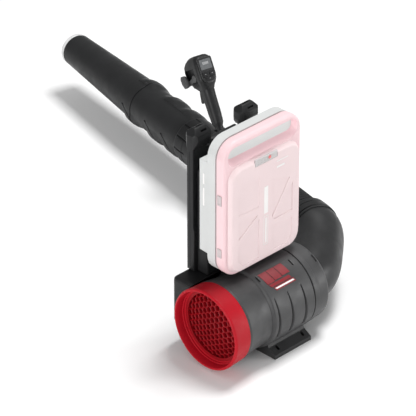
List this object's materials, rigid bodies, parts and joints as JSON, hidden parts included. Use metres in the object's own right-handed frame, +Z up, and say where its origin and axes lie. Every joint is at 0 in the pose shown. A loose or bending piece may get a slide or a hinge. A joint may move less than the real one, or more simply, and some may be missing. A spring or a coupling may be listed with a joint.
{
  "type": "backpack leaf blower",
  "caption": "Battery backpack leaf blower: axial fan on a stand, carrying frame with battery, elbow, flexible hose, tube and nozzle, and a control handle.",
  "frame": {"origin": "on the floor under the middle of the fan, on the front foot's underside", "axes": "+Z up, +Y the way the tube blows (the wearer's forward), +X along the fan from the intake to the elbow"},
  "size_m": [0.6469, 1.1341, 0.502],
  "materials": {
    "charcoal_plastic": "fine-textured moulded plastic",
    "housing_plastic": "satin moulded plastic",
    "red_plastic": "satin moulded plastic",
    "cover_plastic": "pale pink moulded plastic",
    "casing_plastic": "pale grey moulded plastic",
    "soft_rubber": "matt corrugated rubber",
    "bright_steel": "machined",
    "cells": "battery cells and their holder, at their usual density",
    "outlet_ring": "pale ring",
    "display_window": "clear window over a grey screen"
  },
  "bodies": {
    "frame": {"intake_ring": "red_plastic", "intake_guard": "red_plastic", "inlet_duct": "housing_plastic", "fan_housing": "housing_plastic", "air_duct": "housing_plastic", "badge_plate": "red_plastic", "motor_mount": "charcoal_plastic", "motor": "bright_steel", "tail_cone": "charcoal_plastic", "stand_rear": "charcoal_plastic", "stand_front": "charcoal_plastic", "frame_base": "charcoal_plastic", "controller": "bright_steel", "frame_post_left": "charcoal_plastic", "frame_post_right": "charcoal_plastic", "frame_crossbar": "charcoal_plastic", "battery_dock": "charcoal_plastic", "dock_connector": "charcoal_plastic", "clamp_collar": "housing_plastic", "elbow": "charcoal_plastic", "elbow_cuff": "charcoal_plastic", "hose_rear": "soft_rubber"},
    "fan": {"impeller": "charcoal_plastic", "nose_cone": "charcoal_plastic"},
    "latch": {"dock_latch": "red_plastic"},
    "battery": {"battery_cover": "cover_plastic", "battery_mid_shell": "casing_plastic", "battery_rear_shell": "casing_plastic", "cell_pack": "cells", "indicator_panel": "casing_plastic", "battery_clip_left_high": "casing_plastic", "battery_clip_left_low": "casing_plastic", "battery_clip_right_high": "casing_plastic", "battery_clip_right_low": "casing_plastic"},
    "battery_button": {"indicator_button": "red_plastic"},
    "hose": {"hose_middle": "soft_rubber"},
    "hose_end": {"hose_front": "soft_rubber", "hose_collar": "charcoal_plastic"},
    "tube": {"swivel_sleeve": "charcoal_plastic", "tube_main": "charcoal_plastic", "handle_clamp": "charcoal_plastic", "pivot_bolt": "bright_steel"},
    "nozzle": {"nozzle_tube": "charcoal_plastic", "nozzle_ring": "outlet_ring"},
    "handle": {"handle_stalk": "charcoal_plastic", "control_head": "charcoal_plastic", "display_frame": "housing_plastic", "display_window": "display_window", "trigger_pin": "bright_steel"},
    "trigger": {"trigger": "charcoal_plastic"},
    "cruise": {"cruise_lever": "charcoal_plastic"},
    "key_left": {"key_left": "charcoal_plastic"},
    "key_right": {"key_right": "charcoal_plastic"},
    "key_wide": {"key_wide": "charcoal_plastic"}
  },
  "joints": [
    {"name": "fan_spin", "type": "hinge", "parent": "frame", "child": "fan", "pos_m": [0, 0, 0.095], "axis": [1, 0, 0], "continuous": true},
    {"name": "latch_press", "type": "slide", "parent": "frame", "child": "latch", "axis": [0, 1, 0], "range_m": [0, 0.003], "stiffness_N_per_m": 2000},
    {"name": "battery_lift", "type": "slide", "parent": "frame", "child": "battery", "axis": [0, 0, 1], "range_m": [0, 0.31]},
    {"name": "battery_button_press", "type": "slide", "parent": "battery", "child": "battery_button", "axis": [0, 1, 0], "range_m": [0, 0.001], "stiffness_N_per_m": 2000},
    {"name": "hose_lift", "type": "hinge", "parent": "frame", "child": "hose", "pos_m": [0.25207, 0.16551, 0.11], "axis": [0.9785, -0.2062, 0], "range_deg": [-25, 20], "deforming": ["hose_rear"]},
    {"name": "hose_swing", "type": "hinge", "parent": "hose", "child": "hose_end", "pos_m": [0.28643, 0.3286, 0.11], "axis": [0, 0, 1], "range_deg": [-25, 25], "deforming": ["hose_front"]},
    {"name": "tube_swivel", "type": "hinge", "parent": "hose_end", "child": "tube", "pos_m": [0.30286, 0.40655, 0.11], "axis": [0.2062, 0.9785, 0], "range_deg": [-40, 40]},
    {"name": "nozzle_twist", "type": "hinge", "parent": "tube", "child": "nozzle", "pos_m": [0.37008, 0.72555, 0.11], "axis": [0.2062, 0.9785, 0], "range_deg": [0, 30]},
    {"name": "handle_tilt", "type": "hinge", "parent": "tube", "child": "handle", "pos_m": [0.30843, 0.43297, 0.178], "axis": [-0.9785, 0.2062, 0], "range_deg": [-20, 25]},
    {"name": "trigger_pull", "type": "hinge", "parent": "handle", "child": "trigger", "pos_m": [0.3213, 0.49406, 0.25669], "axis": [-0.9785, 0.2062, 0], "range_deg": [0, 12], "stiffness_Nm_per_rad": 1},
    {"name": "cruise_set", "type": "hinge", "parent": "handle", "child": "cruise", "pos_m": [0.30495, 0.50861, 0.2872], "axis": [0.9785, -0.2062, 0], "range_deg": [0, 38]},
    {"name": "key_left_press", "type": "slide", "parent": "handle", "child": "key_left", "axis": [0.1729, 0.8206, -0.5446], "range_m": [0, 0.0012], "stiffness_N_per_m": 1500},
    {"name": "key_right_press", "type": "slide", "parent": "handle", "child": "key_right", "axis": [0.1729, 0.8206, -0.5446], "range_m": [0, 0.0012], "stiffness_N_per_m": 1500},
    {"name": "key_wide_press", "type": "slide", "parent": "handle", "child": "key_wide", "axis": [0.1729, 0.8206, -0.5446], "range_m": [0, 0.0012], "stiffness_N_per_m": 1500}
  ]
}
